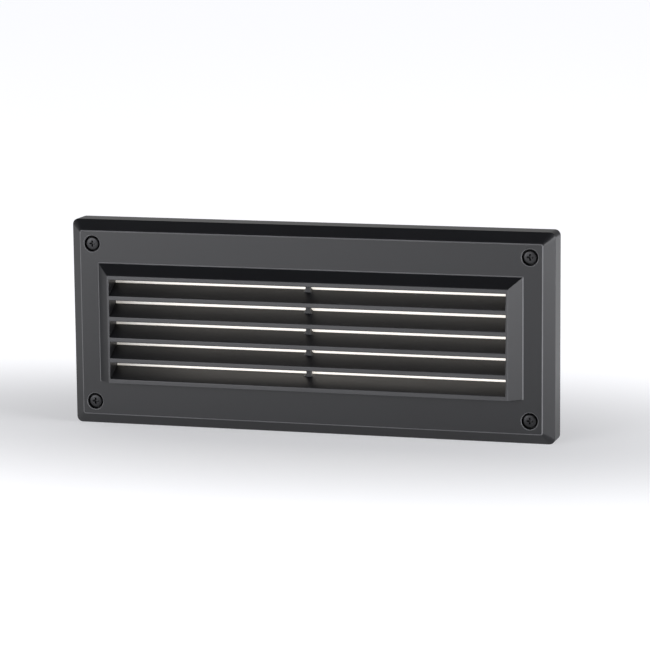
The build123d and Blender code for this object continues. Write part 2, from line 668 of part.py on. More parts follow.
# Driver: a potted plastic case with a screwed lug at each end, hung on the back of the tray
with BuildPart() as led_driver:
    with BuildSketch(behind(DRIVER_BACK)):
        with Locations((DRIVER_MIDDLE, 0)):
            Rectangle(DRIVER_RIGHT - DRIVER_LEFT, DRIVER_WIDTH)
    extrude(amount=DRIVER_HEIGHT)
    chamfer(led_driver.edges().filter_by(Axis.Y), DRIVER_CHAMFER)
    chamfer(led_driver.faces().sort_by(Axis.Y)[-1].edges(), DRIVER_CHAMFER)
    with BuildSketch(behind(TRAY_REAR + LUG_THICKNESS)):
        with Locations(DRIVER_SCREW_PLACES):
            Rectangle(LUG_LENGTH, LUG_WIDTH)
    extrude(amount=LUG_THICKNESS)
    with BuildSketch(behind(TRAY_REAR)):
        with Locations(DRIVER_SCREW_PLACES):
            RegularPolygon(SMALL_HOLE_RADIUS, SMALL_SIDES)
    extrude(amount=-LUG_THICKNESS, mode=Mode.SUBTRACT)
finish(led_driver, "led_driver")

driver_screws = small_screws(-TRAY_REAR - LUG_THICKNESS, DRIVER_SCREW_PLACES, DRIVER_SCREW_LENGTH, False)
finish(driver_screws, "driver_screws")

with BuildPart() as lead_grommet:
    for depth, radius, thickness in (
        (TRAY_FLOOR, GROMMET_RADIUS, GROMMET_LIP),
        (TRAY_REAR, GROMMET_WAIST, TRAY_SHEET),
        (TRAY_REAR + GROMMET_LIP, GROMMET_RADIUS, GROMMET_LIP),
    ):
        with BuildSketch(behind(depth)):
            with Locations((GROMMET_X, 0)):
                RegularPolygon(radius, SMALL_SIDES)
                RegularPolygon(GROMMET_BORE, SMALL_SIDES, mode=Mode.SUBTRACT)
        extrude(amount=thickness)
finish(lead_grommet, "lead_grommet")


# Terminal block on the back wall: a moulded strip with a screw well and two wire funnels for each pole
with BuildPart() as terminal_block:
    with BuildSketch(behind(BOX_INSIDE)):
        with Locations((BLOCK_MIDDLE, 0)):
            Rectangle(BLOCK_RIGHT - BLOCK_LEFT, BLOCK_POLES * BLOCK_PITCH)
    extrude(amount=BLOCK_HEIGHT)
    chamfer(terminal_block.edges().filter_by(Axis.Z).sort_by(Axis.Y)[:2], BLOCK_CHAMFER)
    with BuildSketch(behind(BOX_INSIDE)):
        with Locations((BLOCK_MIDDLE, 0)):
            Rectangle(BLOCK_EAR_WIDTH, BLOCK_POLES * BLOCK_PITCH + 2 * BLOCK_EAR)
    extrude(amount=BLOCK_EAR_THICKNESS)
    with BuildSketch(behind(BOX_INSIDE - BLOCK_HEIGHT)):
        with Locations(TERMINAL_PLACES):
            RegularPolygon(WELL_RADIUS, SMALL_SIDES)
    extrude(amount=-WELL_DEPTH, mode=Mode.SUBTRACT)
    with BuildSketch(behind(BOX_INSIDE - BLOCK_EAR_THICKNESS)):
        with Locations(BLOCK_SCREW_PLACES):
            RegularPolygon(SMALL_HOLE_RADIUS, SMALL_SIDES)
    extrude(amount=-BLOCK_EAR_THICKNESS, mode=Mode.SUBTRACT)
    for x, way in ((BLOCK_LEFT, -1), (BLOCK_RIGHT, 1)):
        with BuildSketch(Plane(origin=(x, LEAD_DEPTH, 0), x_dir=(0, 1, 0), z_dir=(way, 0, 0))):
            with Locations([(0, way * z) for _, z in TERMINAL_PLACES]):
                RegularPolygon(FUNNEL_RADIUS, LEAD_SIDES)
        extrude(amount=-FUNNEL_DEPTH, mode=Mode.SUBTRACT)
finish(terminal_block, "terminal_block")

with BuildPart() as terminal_screws:
    with BuildSketch(behind(BOX_INSIDE - BLOCK_HEIGHT + WELL_DEPTH)):
        with Locations(TERMINAL_PLACES):
            RegularPolygon(TERMINAL_SCREW_RADIUS, SMALL_SIDES)
    extrude(amount=TERMINAL_SCREW_HEIGHT)
    with BuildSketch(behind(BOX_INSIDE - BLOCK_HEIGHT + WELL_DEPTH - TERMINAL_SCREW_HEIGHT)):
        with Locations(TERMINAL_PLACES):
            Rectangle(2 * TERMINAL_SCREW_RADIUS, TERMINAL_SLOT_WIDTH)
    extrude(amount=-TERMINAL_SLOT_DEPTH, mode=Mode.SUBTRACT)
finish(terminal_screws, "terminal_screws")

terminal_block_screws = small_screws(
    -BOX_INSIDE + BLOCK_EAR_THICKNESS, BLOCK_SCREW_PLACES, BLOCK_SCREW_LENGTH, True
)
finish(terminal_block_screws, "terminal_block_screws")

# Earth: a ring tag on a tapped boss, crimped to the green and yellow lead
with BuildPart() as earth_tag:
    with BuildSketch(behind(EARTH_SEAT)):
        with Locations((EARTH_X, EARTH_Z)):
            RegularPolygon(TAG_RADIUS, SMALL_SIDES)
        with Locations(((EARTH_X + TAG_REACH) / 2, EARTH_Z)):
            Rectangle(TAG_REACH - EARTH_X, TAG_TAIL_WIDTH)
        with Locations((EARTH_X, EARTH_Z)):
            RegularPolygon(SMALL_HOLE_RADIUS, SMALL_SIDES, mode=Mode.SUBTRACT)
    extrude(amount=TAG_THICKNESS)
    barrel_end = Plane(origin=(TAG_REACH, LEAD_DEPTH, EARTH_Z), x_dir=(0, 1, 0), z_dir=(1, 0, 0))
    with BuildSketch(barrel_end):
        RegularPolygon(EARTH_SEAT - LEAD_DEPTH, LEAD_SIDES)
    extrude(amount=BARREL_LENGTH, both=True)
    with BuildSketch(barrel_end):
        RegularPolygon(BARREL_BORE, LEAD_SIDES)
    extrude(amount=BARREL_LENGTH, both=True, mode=Mode.SUBTRACT)
finish(earth_tag, "earth_tag")

earth_screw = small_screws(-EARTH_SEAT + TAG_THICKNESS, [(EARTH_X, EARTH_Z)], EARTH_SCREW_LENGTH, True)
finish(earth_screw, "earth_screw")


# Leads inside the light: each corner of a route is cut off at the same distance before and after it
def lead(points, radius, bend):
    """An insulated lead along a route, drawn with flat sides."""
    route = [Vector(*point) for point in points]
    eased = [route[0]]
    for before, here, after in zip(route, route[1:], route[2:]):
        eased.append(here + (before - here).normalized() * bend)
        eased.append(here + (after - here).normalized() * bend)
    eased.append(route[-1])
    with BuildPart() as piece:
        with BuildLine() as path:
            Polyline(*eased)
        with BuildSketch(Plane(origin=path.line @ 0, z_dir=path.line % 0)):
            RegularPolygon(radius, LEAD_SIDES)
        sweep(path=path.line, transition=Transition.RIGHT)
    return piece


for name, z in (("lead_live", BLOCK_PITCH), ("lead_neutral", 0.0)):
    driver_lead = lead(
        [
            (BLOCK_LEFT + FUNNEL_DEPTH, LEAD_DEPTH, z),
            (LEAD_TURN, LEAD_DEPTH, z),
            (LEAD_TURN, DRIVER_LEAD_DEPTH, z),
            (DRIVER_RIGHT, DRIVER_LEAD_DEPTH, z),
        ],
        LEAD_RADIUS,
        LEAD_BEND,
    )
    finish(driver_lead, name)

lead_earth = lead(
    [
        (BLOCK_LEFT + FUNNEL_DEPTH, LEAD_DEPTH, -BLOCK_PITCH),
        (LEAD_TURN, LEAD_DEPTH, -BLOCK_PITCH),
        (LEAD_TURN, LEAD_DEPTH, EARTH_Z),
        (TAG_REACH, LEAD_DEPTH, EARTH_Z),
    ],
    LEAD_RADIUS,
    LEAD_BEND,
)
finish(lead_earth, "lead_earth")

for name, z in (("led_lead_positive", LED_LEAD_Z), ("led_lead_negative", -LED_LEAD_Z)):
    board_lead = lead(
        [
            (DRIVER_LEFT, DRIVER_LEAD_DEPTH, z),
            (GROMMET_X, DRIVER_LEAD_DEPTH, z),
            (GROMMET_X, BOARD_FRONT - LED_LEAD_RADIUS - LEAD_GAP, z),
            (PAD_X, BOARD_FRONT - LED_LEAD_RADIUS - LEAD_GAP, z),
        ],
        LED_LEAD_RADIUS,
        LED_LEAD_BEND,
    )
    finish(board_lead, name)


# Cable entries in the back: a gland for the supply and a plug in the spare one, each on a washer.
# Round parts are drawn with flat sides, but for the seal's bore, where the cable is gripped.
def entry_washer(x):
    """The flat sealing washer round a cable entry."""
    with BuildPart() as washer:
        with BuildSketch(behind(ENTRY_SEAT)):
            with Locations((x, 0)):
                RegularPolygon(ENTRY_WASHER_RADIUS, GLAND_SIDES)
                RegularPolygon(ENTRY_RADIUS, GLAND_SIDES, mode=Mode.SUBTRACT)
        extrude(amount=ENTRY_WASHER)
    return washer


finish(entry_washer(ENTRY_X), "gland_washer")
finish(entry_washer(-ENTRY_X), "plug_washer")

with BuildPart() as gland_body:
    with BuildSketch(behind(ENTRY_SEAT)):
        with Locations((ENTRY_X, 0)):
            RegularPolygon(ENTRY_RADIUS - THREAD_CLEARANCE, GLAND_SIDES)
    extrude(amount=GLAND_STUB)
    with BuildSketch(behind(GLAND_HEX_END)):
        with Locations((ENTRY_X, 0)):
            RegularPolygon(GLAND_ACROSS_FLATS / 2, 6, major_radius=False)
    extrude(amount=GLAND_HEX)
    with BuildSketch(behind(COLLAR_END)):
        with Locations((ENTRY_X, 0)):
            RegularPolygon(COLLAR_RADIUS, GLAND_SIDES)
    extrude(amount=GLAND_COLLAR)
    with BuildSketch(behind(ENTRY_SEAT - GLAND_STUB)):
        with Locations((ENTRY_X, 0)):
            RegularPolygon(GLAND_THROAT, GLAND_SIDES)
    extrude(until=Until.LAST, dir=(0, 1, 0), mode=Mode.SUBTRACT)
    with BuildSketch(behind(COLLAR_END)):
        with Locations((ENTRY_X, 0)):
            RegularPolygon(SEAL_RADIUS + SEAL_GAP, GLAND_SIDES)
    extrude(amount=COLLAR_END - SEAL_START, mode=Mode.SUBTRACT)
finish(gland_body, "gland_body")

with BuildPart() as gland_seal:
    with BuildSketch(behind(SEAL_END)):
        with Locations((ENTRY_X, 0)):
            RegularPolygon(SEAL_RADIUS, GLAND_SIDES)
            Circle(SEAL_BORE, mode=Mode.SUBTRACT)
    extrude(amount=SEAL_END - SEAL_START)
finish(gland_seal, "gland_seal")

with BuildPart() as gland_slip_ring:
    with BuildSketch(behind(RING_END)):
        with Locations((ENTRY_X, 0)):
            RegularPolygon(RING_RADIUS, GLAND_SIDES)
            RegularPolygon(RING_BORE, GLAND_SIDES, mode=Mode.SUBTRACT)
    extrude(amount=SLIP_RING)
finish(gland_slip_ring, "gland_slip_ring")

with BuildPart() as gland_nut:
    with BuildSketch(behind(NUT_END)):
        with Locations((ENTRY_X, 0)):
            RegularPolygon(DOME_RADIUS, GLAND_SIDES)
    extrude(amount=NUT_LENGTH)
    chamfer(gland_nut.faces().sort_by(Axis.Y)[-1].edges(), DOME_CHAMFER)
    with BuildSketch(behind(NUT_START + NUT_HEX)):
        with Locations((ENTRY_X, 0)):
            RegularPolygon(GLAND_ACROSS_FLATS / 2, 6, major_radius=False)
    extrude(amount=NUT_HEX)
    for depth, radius in ((NUT_END, NUT_HOLE), (RING_END, COLLAR_RADIUS + THREAD_CLEARANCE)):
        with BuildSketch(behind(depth)):
            with Locations((ENTRY_X, 0)):
                RegularPolygon(radius, GLAND_SIDES, major_radius=False)
        extrude(amount=depth - NUT_START, mode=Mode.SUBTRACT)
finish(gland_nut, "gland_nut")

with BuildPart() as blanking_plug:
    with BuildSketch(behind(ENTRY_SEAT)):
        with Locations((-ENTRY_X, 0)):
            RegularPolygon(ENTRY_RADIUS - THREAD_CLEARANCE, GLAND_SIDES)
    extrude(amount=PLUG_STUB)
    with BuildSketch(behind(ENTRY_SEAT + PLUG_HEAD)):
        with Locations((-ENTRY_X, 0)):
            RegularPolygon(PLUG_RADIUS, GLAND_SIDES)
    extrude(amount=PLUG_HEAD)
    chamfer(blanking_plug.faces().sort_by(Axis.Y)[-1].edges(), PLUG_CHAMFER)
    with BuildSketch(behind(ENTRY_SEAT + PLUG_HEAD)):
        with Locations((-ENTRY_X, 0)):
            Rectangle(PLUG_SLOT_LENGTH, PLUG_SLOT_WIDTH)
    extrude(amount=PLUG_SLOT_DEPTH, mode=Mode.SUBTRACT)
finish(blanking_plug, "blanking_plug")
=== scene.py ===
import json
from math import cos, pi, radians, sin

import bpy
from mathutils import Matrix, Vector

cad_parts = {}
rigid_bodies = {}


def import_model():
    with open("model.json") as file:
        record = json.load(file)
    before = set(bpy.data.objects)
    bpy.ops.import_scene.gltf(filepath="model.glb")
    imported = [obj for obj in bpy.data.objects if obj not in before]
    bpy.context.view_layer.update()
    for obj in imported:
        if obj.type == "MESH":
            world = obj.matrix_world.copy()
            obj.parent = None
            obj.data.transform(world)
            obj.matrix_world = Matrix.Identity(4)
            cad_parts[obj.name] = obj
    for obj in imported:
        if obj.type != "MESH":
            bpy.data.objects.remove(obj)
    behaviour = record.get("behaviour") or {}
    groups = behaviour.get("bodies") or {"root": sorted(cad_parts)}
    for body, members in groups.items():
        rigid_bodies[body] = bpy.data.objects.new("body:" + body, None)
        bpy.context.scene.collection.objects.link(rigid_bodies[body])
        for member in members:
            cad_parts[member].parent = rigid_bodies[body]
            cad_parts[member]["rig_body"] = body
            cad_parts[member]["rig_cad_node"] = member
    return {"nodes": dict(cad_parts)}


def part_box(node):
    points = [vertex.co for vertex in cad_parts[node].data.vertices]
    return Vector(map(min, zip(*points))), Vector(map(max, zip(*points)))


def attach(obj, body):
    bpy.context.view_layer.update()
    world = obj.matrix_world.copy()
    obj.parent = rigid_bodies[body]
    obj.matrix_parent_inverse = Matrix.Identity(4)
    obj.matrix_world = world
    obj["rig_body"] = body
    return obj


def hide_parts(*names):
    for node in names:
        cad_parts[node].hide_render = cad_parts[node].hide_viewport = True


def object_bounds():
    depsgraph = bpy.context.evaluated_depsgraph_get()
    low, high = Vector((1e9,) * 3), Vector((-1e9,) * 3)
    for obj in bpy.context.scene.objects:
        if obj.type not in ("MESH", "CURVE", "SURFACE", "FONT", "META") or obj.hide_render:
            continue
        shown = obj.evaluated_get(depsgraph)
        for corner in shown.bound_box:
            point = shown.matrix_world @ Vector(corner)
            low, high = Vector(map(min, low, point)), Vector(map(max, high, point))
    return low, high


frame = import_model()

cad_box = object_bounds()

# The viewpoint: a long lens in front of the light, a little to its right and above it.
# The aim, the bearing and the distance were worked out from the corners of the front.
AIM = Vector((0.004381, 0, 0.000512))
BEARING, RISE, TILT = radians(16.426), radians(9.469), radians(-0.541)
DISTANCE, LENS, FILM, FARTHEST = 1.5196, 167.51, 36.0, 60
away = Vector((sin(BEARING) * cos(RISE), -cos(BEARING) * cos(RISE), sin(RISE)))
level = Vector((cos(BEARING), sin(BEARING), 0))
upright = away.cross(level)
across = cos(TILT) * level + sin(TILT) * upright
upwards = cos(TILT) * upright - sin(TILT) * level
bpy.ops.object.camera_add()
camera = bpy.context.object
facing = Matrix((across, upwards, away)).transposed().to_4x4()
camera.matrix_world = Matrix.Translation(AIM + away * DISTANCE) @ facing
camera.data.lens, camera.data.sensor_width = LENS, FILM
camera.data.clip_end = FARTHEST
bpy.context.scene.camera = camera
bpy.context.scene.view_settings.view_transform = "Standard"


# Studio: a white floor that keeps the shadow near the object and glows to white further away. Its
# glow is weaker near the object, which paints shade round it on top of that shadow. The surroundings
# are dark but for a pale part behind on the left. A wide soft lamp and a faint one stand in front,
# left of the middle, and a stronger one stands on the right.
class Tone:
    """A value that changes over a surface. Sums and products of tones add Math nodes."""

    def __init__(self, finish, socket):
        self.finish = finish
        self.socket = socket

    def maths(self, operation, first, second):
        return self.finish.add("Math", {"operation": operation}, {0: first, 1: second})

    def __add__(self, other):
        return self.maths("ADD", self, other)

    def __sub__(self, other):
        return self.maths("SUBTRACT", self, other)

    def __rsub__(self, other):
        return self.maths("SUBTRACT", other, self)

    def __mul__(self, other):
        return self.maths("MULTIPLY", self, other)

    __radd__ = __add__
    __rmul__ = __mul__


class Finish:
    """A procedural finish: the nodes that feed one surface or the surroundings."""

    def __init__(self, owner):
        owner.use_nodes = True
        self.owner = owner
        self.tree = owner.node_tree
        self.tree.nodes.clear()

    def add(self, kind, settings, values, output=0):
        node = self.tree.nodes.new("ShaderNode" + kind)
        for key, value in settings.items():
            setattr(node, key, value)
        for key, value in values.items():
            if isinstance(value, Tone):
                self.tree.links.new(value.socket, node.inputs[key])
            else:
                node.inputs[key].default_value = value
        return Tone(self, node.outputs[output]) if node.outputs else None

    def ray(self, *kinds):
        """1 for these kinds of ray and 0 for the others."""
        seen = 0.0
        for kind in kinds:
            seen = self.add("LightPath", {}, {}, kind) + seen
        return self.add("Clamp", {}, {"Value": seen})

    def axis(self, letter):
        """One of the Object coordinates of the surface, in metres."""
        place = self.add("TexCoord", {}, {}, "Object")
        return self.add("SeparateXYZ", {}, {"Vector": place}, letter)

    def noise(self, scale, detail):
        """Soft noise between 0 and 1, with this many patches to the metre."""
        place = self.add("TexCoord", {}, {}, "Object")
        return self.add("TexNoise", {}, {"Vector": place, "Scale": scale, "Detail": detail})

    def near(self, value, middle, reach):
        """1 where a value is within reach of the middle, and 0 elsewhere."""
        return self.add("Math", {"operation": "COMPARE"}, {0: value, 1: middle, 2: reach})

    def ramp(self, value, start, end, low, high):
        """A level that goes smoothly from low at the start of a value to high at its end."""
        return self.add("MapRange", {"interpolation_type": "SMOOTHSTEP"}, {
            "Value": value, "From Min": start, "From Max": end, "To Min": low, "To Max": high,
        })

    def blend(self, factor, first, second):
        """A colour between two, each a tone or three numbers."""
        first, second = (colour if isinstance(colour, Tone) else (*colour, 1) for colour in (first, second))
        return self.add("Mix", {"data_type": "RGBA"}, {"Factor": factor, "A": first, "B": second}, 2)

    def surface(self, colour, roughness, height, depth, others=None):
        """Ends a material with its surface, raised by depth metres where the height is 1."""
        relief = self.add("Bump", {}, {"Height": height, "Distance": depth, "Strength": 1.0})
        values = {"Base Color": colour, "Roughness": roughness, "Normal": relief}
        values.update(others or {})
        self.add("OutputMaterial", {}, {"Surface": self.add("BsdfPrincipled", {}, values)})
        return self.owner


FLOOR_SIDE, FLOOR_GAP = 24.0, 0.0001
FLOOR_WHITE, FLOOR_SEEN = 0.9, 0.6
GLOW_NEAR, GLOW_FAR, GLOW_START, GLOW_END, GLOW_SHAPE = 0.42, 0.93, 0.03, 0.24, (0.5, 1, 1)
SKY_LEVEL, BACK_LEVEL, BACK_START, BACK_END, BACK_SIDE = 0.01, 0.6, 0.2, 1.0, (-0.7, 0.72, 0.0)
COOL = (0.965, 0.97, 1.0)
surroundings = Finish(bpy.context.scene.world or bpy.data.worlds.new("surroundings"))
bpy.context.scene.world = surroundings.owner
direction = surroundings.add("TexCoord", {}, {}, "Generated")
backward = surroundings.add("VectorMath", {"operation": "DOT_PRODUCT"}, {0: direction, 1: BACK_SIDE}, "Value")
sky_level = surroundings.ramp(backward, BACK_START, BACK_END, SKY_LEVEL, BACK_LEVEL)
sky = surroundings.add("Background", {}, {"Strength": sky_level, "Color": (1, 1, 1, 1)}, "Background")
surroundings.add("OutputWorld", {}, {"Surface": sky})

floor_z = cad_box[0][2] - FLOOR_GAP
bpy.ops.object.select_all(action="DESELECT")
bpy.ops.mesh.primitive_plane_add(size=FLOOR_SIDE, location=(0, 0, floor_z))
floor = bpy.context.object
floor.name = "floor"
white_floor = Finish(bpy.data.materials.new("white_floor"))
paint = white_floor.add("BsdfDiffuse", {}, {"Color": (FLOOR_WHITE, FLOOR_WHITE, FLOOR_WHITE, 1)})
lit = white_floor.add("BsdfDiffuse", {}, {"Color": (FLOOR_SEEN, FLOOR_SEEN, FLOOR_SEEN, 1)})
floor_place = white_floor.add("TexCoord", {}, {}, "Object")
squeezed = white_floor.add("VectorMath", {"operation": "MULTIPLY"}, {0: floor_place, 1: GLOW_SHAPE}, "Vector")
distance = white_floor.add("VectorMath", {"operation": "LENGTH"}, {0: squeezed}, "Value")
# Painted shade: the floor's glow is weaker near the object, so the floor round it is darker than its real
# shadow makes it.
glow_level = white_floor.ramp(distance, GLOW_START, GLOW_END, GLOW_NEAR, GLOW_FAR)
glow = white_floor.add("Emission", {}, {"Strength": glow_level, "Color": (*COOL, 1)})
lifted = white_floor.add("AddShader", {}, {0: lit, 1: glow})
seen = white_floor.ray("Is Camera Ray", "Is Glossy Ray", "Is Transmission Ray")
mixed = white_floor.add("MixShader", {}, {"Fac": seen, 1: paint, 2: lifted})
white_floor.add("OutputMaterial", {}, {"Surface": mixed})
floor.data.materials.append(white_floor.owner)

for name, spot, lamp_side, power in (
    ("front_left_lamp", Vector((-1.2, -1.8, 0.25)), 1.2, 29.5),
    ("front_lamp", Vector((-0.4, -2.1, 0.5)), 1.0, 6.0),
    ("right_lamp", Vector((2.1, -0.5, 0.3)), 1.2, 54.0),
):
    towards_aim = (AIM - spot).to_track_quat("-Z", "Y").to_euler()
    bpy.ops.object.light_add(type="AREA", location=spot, rotation=towards_aim)
    lamp = bpy.context.object
    lamp.name = name
    lamp.data.size = lamp_side
    lamp.data.energy = power
    lamp.data.color = COOL


# Recess box: an aluminium die casting with draft, a wall flange, tapped columns and gussets. Its
# corners are eased as cast, and its coat is rougher than that of the front.
MM = 0.001
WELD = 0.000002
FLAT_EDGE, SHARP_EDGE, SOFT_EDGE, THREAD_EDGE, CORNER = 1, 30, 35, 30, 40
NOWHERE = ((0, 0, 0), (0, 0, 0))


def coat(name, deep, pale, patch, rough, grain, depth, metal=0.0):
    """A finish that drifts between two colours over patches, with a fine raised grain. The size of
    the patches, that of the grain and its depth are in millimetres."""
    made = Finish(bpy.data.materials.new(name))
    drift = made.noise(1 / (patch * MM), 3.0)
    speckle = made.noise(1 / (grain * MM), 2.0)
    roughness = rough[0] + (rough[1] - rough[0]) * drift
    return made.surface(made.blend(drift, deep, pale), roughness, speckle, depth * MM, {"Metallic": metal})


def open_up(piece):
    """Opens one piece for editing, with all of its mesh selected and nothing else."""
    bpy.ops.object.select_all(action="DESELECT")
    piece.select_set(True)
    bpy.context.view_layer.objects.active = piece
    bpy.ops.object.mode_set(mode="EDIT")
    bpy.ops.mesh.select_all(action="SELECT")


def close_up(piece, soft_angle=SOFT_EDGE):
    """Ends the editing of a piece and shades it smooth but for its sharper edges."""
    bpy.ops.object.mode_set(mode="OBJECT")
    bpy.ops.object.transform_apply(location=True, rotation=True, scale=True)
    bpy.ops.object.shade_smooth_by_angle(angle=radians(soft_angle))
    return piece


def modify(piece, kind, **settings):
    """Adds a modifier to a piece and applies it."""
    bpy.ops.object.select_all(action="DESELECT")
    piece.select_set(True)
    bpy.context.view_layer.objects.active = piece
    step = piece.modifiers.new(kind.lower(), kind)
    for key, value in settings.items():
        setattr(step, key, value)
    bpy.ops.object.modifier_apply(modifier=step.name)


def softened(piece, radius):
    """Rounds the corners of a piece to a radius in millimetres."""
    modify(piece, "BEVEL", width=radius * MM, segments=3, limit_method="ANGLE", angle_limit=radians(CORNER))


def eased(node, radius, segments=2, inside=NOWHERE):
    """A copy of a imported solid, merged, with its sharp edges rounded to a radius in millimetres.
    Edges with an end in the box inside, also in millimetres, stay as they are."""
    piece = frame["nodes"][node].copy()
    piece.data = piece.data.copy()
    piece.parent = None
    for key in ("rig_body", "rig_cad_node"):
        del piece[key]
    bpy.context.scene.collection.objects.link(piece)
    open_up(piece)
    bpy.ops.mesh.remove_doubles(threshold=WELD)
    bpy.ops.mesh.dissolve_limited(angle_limit=radians(FLAT_EDGE))
    bpy.ops.object.mode_set(mode="OBJECT")
    bpy.ops.mesh.customdata_custom_splitnormals_clear()
    open_up(piece)
    bpy.ops.mesh.select_mode(type="EDGE")
    bpy.ops.mesh.select_all(action="DESELECT")
    bpy.ops.mesh.edges_select_sharp(sharpness=radians(SHARP_EDGE))
    bpy.ops.object.mode_set(mode="OBJECT")
    low, high = inside
    kept = [all(least < value / MM < most for value, least, most in zip(vertex.co, low, high))
            for vertex in piece.data.vertices]
    weights = piece.data.attributes.new("bevel_weight_edge", "FLOAT", "EDGE")
    for edge, weight in zip(piece.data.edges, weights.data):
        weight.value = float(edge.select and not any(kept[end] for end in edge.vertices))
    open_up(piece)
    bpy.ops.mesh.select_mode(type="VERT")
    bpy.ops.object.mode_set(mode="OBJECT")
    modify(
        piece, "BEVEL", width=radius * MM, segments=segments, limit_method="WEIGHT", use_clamp_overlap=False,
    )
    bpy.ops.object.shade_smooth_by_angle(angle=radians(SOFT_EDGE))
    modify(piece, "WEIGHTED_NORMAL", mode="FACE_AREA", weight=100, keep_sharp=True)
    low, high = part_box(node)
    for vertex in piece.data.vertices:
        vertex.co = [min(max(value, least), most) for value, least, most in zip(vertex.co, low, high)]
    return piece


def fit(piece, name, finish, body, slot, *nodes):
    """Names a finished piece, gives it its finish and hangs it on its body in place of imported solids.
    With no finish the piece keeps the ones it has."""
    piece.name = name
    piece.data.name = name
    if finish:
        piece.data.materials.clear()
        piece.data.materials.append(finish)
    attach(piece, body)
    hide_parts(*nodes)
    return piece


housing_casting = coat(
    "housing_casting", (0.020, 0.0203, 0.022), (0.029, 0.0294, 0.031), 18, (0.46, 0.58), 0.35, 0.012
)
fit(eased("housing", 0.4), "recess_box", housing_casting, "housing", "housing_casting", "housing")

# Cable entries: a nylon gland and a slotted blanking plug, each screwed into the back of the box
# on a flat rubber washer. All are turned or moulded round an axis that runs into the wall.
GLAND_X, GLAND_PITCH, GLAND_STEPS, ACROSS_FLATS = 62.0, 1.5, 48, 26.0
THREAD_DEPTH, SPARE_TURNS = 0.55, 2


def turned(x, z, rings, sides=64, tube=False):
    """A part turned round an axis along Y, from rings of (radius, y) in millimetres."""
    radius, y = rings[0]
    bpy.ops.object.select_all(action="DESELECT")
    bpy.ops.mesh.primitive_circle_add(
        vertices=sides, radius=radius * MM, fill_type="NOTHING" if tube else "NGON",
        location=(x * MM, y * MM, z * MM), rotation=(pi / 2, 0, 0),
    )
    piece = bpy.context.object
    open_up(piece)
    for (last_radius, last_y), (radius, y) in zip(rings, rings[1:]):
        bpy.ops.mesh.extrude_region_move(TRANSFORM_OT_translate={"value": (0, (y - last_y) * MM, 0)})
        grow = radius / last_radius
        bpy.ops.transform.resize(value=(grow, 1, grow), center_override=(x * MM, y * MM, z * MM))
    bpy.ops.mesh.select_all(action="SELECT")
    if tube:
        bpy.ops.mesh.select_all(action="DESELECT")
        bpy.ops.mesh.select_non_manifold()
        bpy.ops.mesh.bridge_edge_loops()
        bpy.ops.mesh.select_all(action="SELECT")
    bpy.ops.mesh.remove_doubles(threshold=WELD)
    bpy.ops.mesh.normals_make_consistent(inside=False)
    return close_up(piece)


def prism(x, z, y_start, y_end, across_flats, sides=6, ease=0.4):
    """A prism along Y with its upright edges eased, in millimetres."""
    bpy.ops.object.select_all(action="DESELECT")
    radius = across_flats / 2 / cos(pi / sides)
    bpy.ops.mesh.primitive_cylinder_add(
        vertices=sides, radius=radius * MM, depth=(y_end - y_start) * MM,
        location=(x * MM, (y_start + y_end) / 2 * MM, z * MM), rotation=(pi / 2, 0, 0),
    )
    piece = bpy.context.object
    softened(piece, ease)
    open_up(piece)
    return close_up(piece)


def combined(piece, other, operation):
    """Joins, cuts or trims one piece with another, which is used up."""
    modify(piece, "BOOLEAN", object=other, operation=operation, solver="EXACT")
    bpy.data.objects.remove(other)
    open_up(piece)
    bpy.ops.mesh.remove_doubles(threshold=WELD)
    return close_up(piece)


def threaded(x, z, y_start, y_end, radius, pitch, steps=24):
    """A threaded rod along Y, closed at both ends, in millimetres. Its crests are at the radius."""
    bpy.ops.object.select_all(action="DESELECT")
    bpy.ops.mesh.primitive_circle_add(vertices=4, radius=radius * MM, fill_type="NOTHING")
    rod = bpy.context.object
    root = radius - THREAD_DEPTH * pitch
    profile = ((root, 0.0), (radius, 0.4), (radius, 0.6), (root, 1.0))
    for vertex, (out, along) in zip(rod.data.vertices, profile):
        vertex.co = (out * MM, 0, along * pitch * MM)
    open_up(rod)
    bpy.ops.mesh.select_all(action="DESELECT")
    bpy.ops.object.mode_set(mode="OBJECT")
    for edge in rod.data.edges:
        edge.select = set(edge.vertices) == {0, 3}
    bpy.ops.object.mode_set(mode="EDIT")
    bpy.ops.mesh.select_mode(type="EDGE")
    bpy.ops.mesh.delete(type="EDGE")
    bpy.ops.mesh.select_mode(type="VERT")
    bpy.ops.object.mode_set(mode="OBJECT")
    turns = int((y_end - y_start) / pitch) + 2 * SPARE_TURNS
    modify(
        rod, "SCREW", axis="Z", screw_offset=pitch * MM, iterations=turns, steps=steps, render_steps=steps,
        use_merge_vertices=True, merge_threshold=WELD,
    )
    rod.rotation_euler = (-pi / 2, 0, 0)
    rod.location = (x * MM, (y_start - SPARE_TURNS * pitch) * MM, z * MM)
    bpy.ops.object.transform_apply(location=True, rotation=True, scale=True)
    open_up(rod)
    bpy.ops.mesh.remove_doubles(threshold=WELD)
    for y, outside in ((y_start, {"clear_inner": True}), (y_end, {"clear_outer": True})):
        bpy.ops.mesh.select_all(action="SELECT")
        bpy.ops.mesh.bisect(plane_co=(0, y * MM, 0), plane_no=(0, 1, 0), use_fill=True, **outside)
    bpy.ops.mesh.select_all(action="SELECT")
    bpy.ops.mesh.normals_make_consistent(inside=False)
    return close_up(rod, THREAD_EDGE)


black_rubber = coat("black_rubber", (0.018, 0.018, 0.019), (0.03, 0.03, 0.031), 6, (0.62, 0.76), 0.12, 0.008)
gland_nylon = coat(
    "gland_nylon", (0.022, 0.0222, 0.024), (0.03, 0.0303, 0.032), 9, (0.34, 0.46), 0.25, 0.005
)
for x, name in ((GLAND_X, "gland_washer"), (-GLAND_X, "plug_washer")):
    washer = turned(x, 0, [
        (10.05, 53.05), (13.6, 53.05), (13.9, 53.3), (13.95, 53.75),
        (13.9, 54.2), (13.6, 54.45), (10.05, 54.45),
    ], tube=True)
    fit(washer, name + "_ring", black_rubber, "housing", "black_rubber", name)

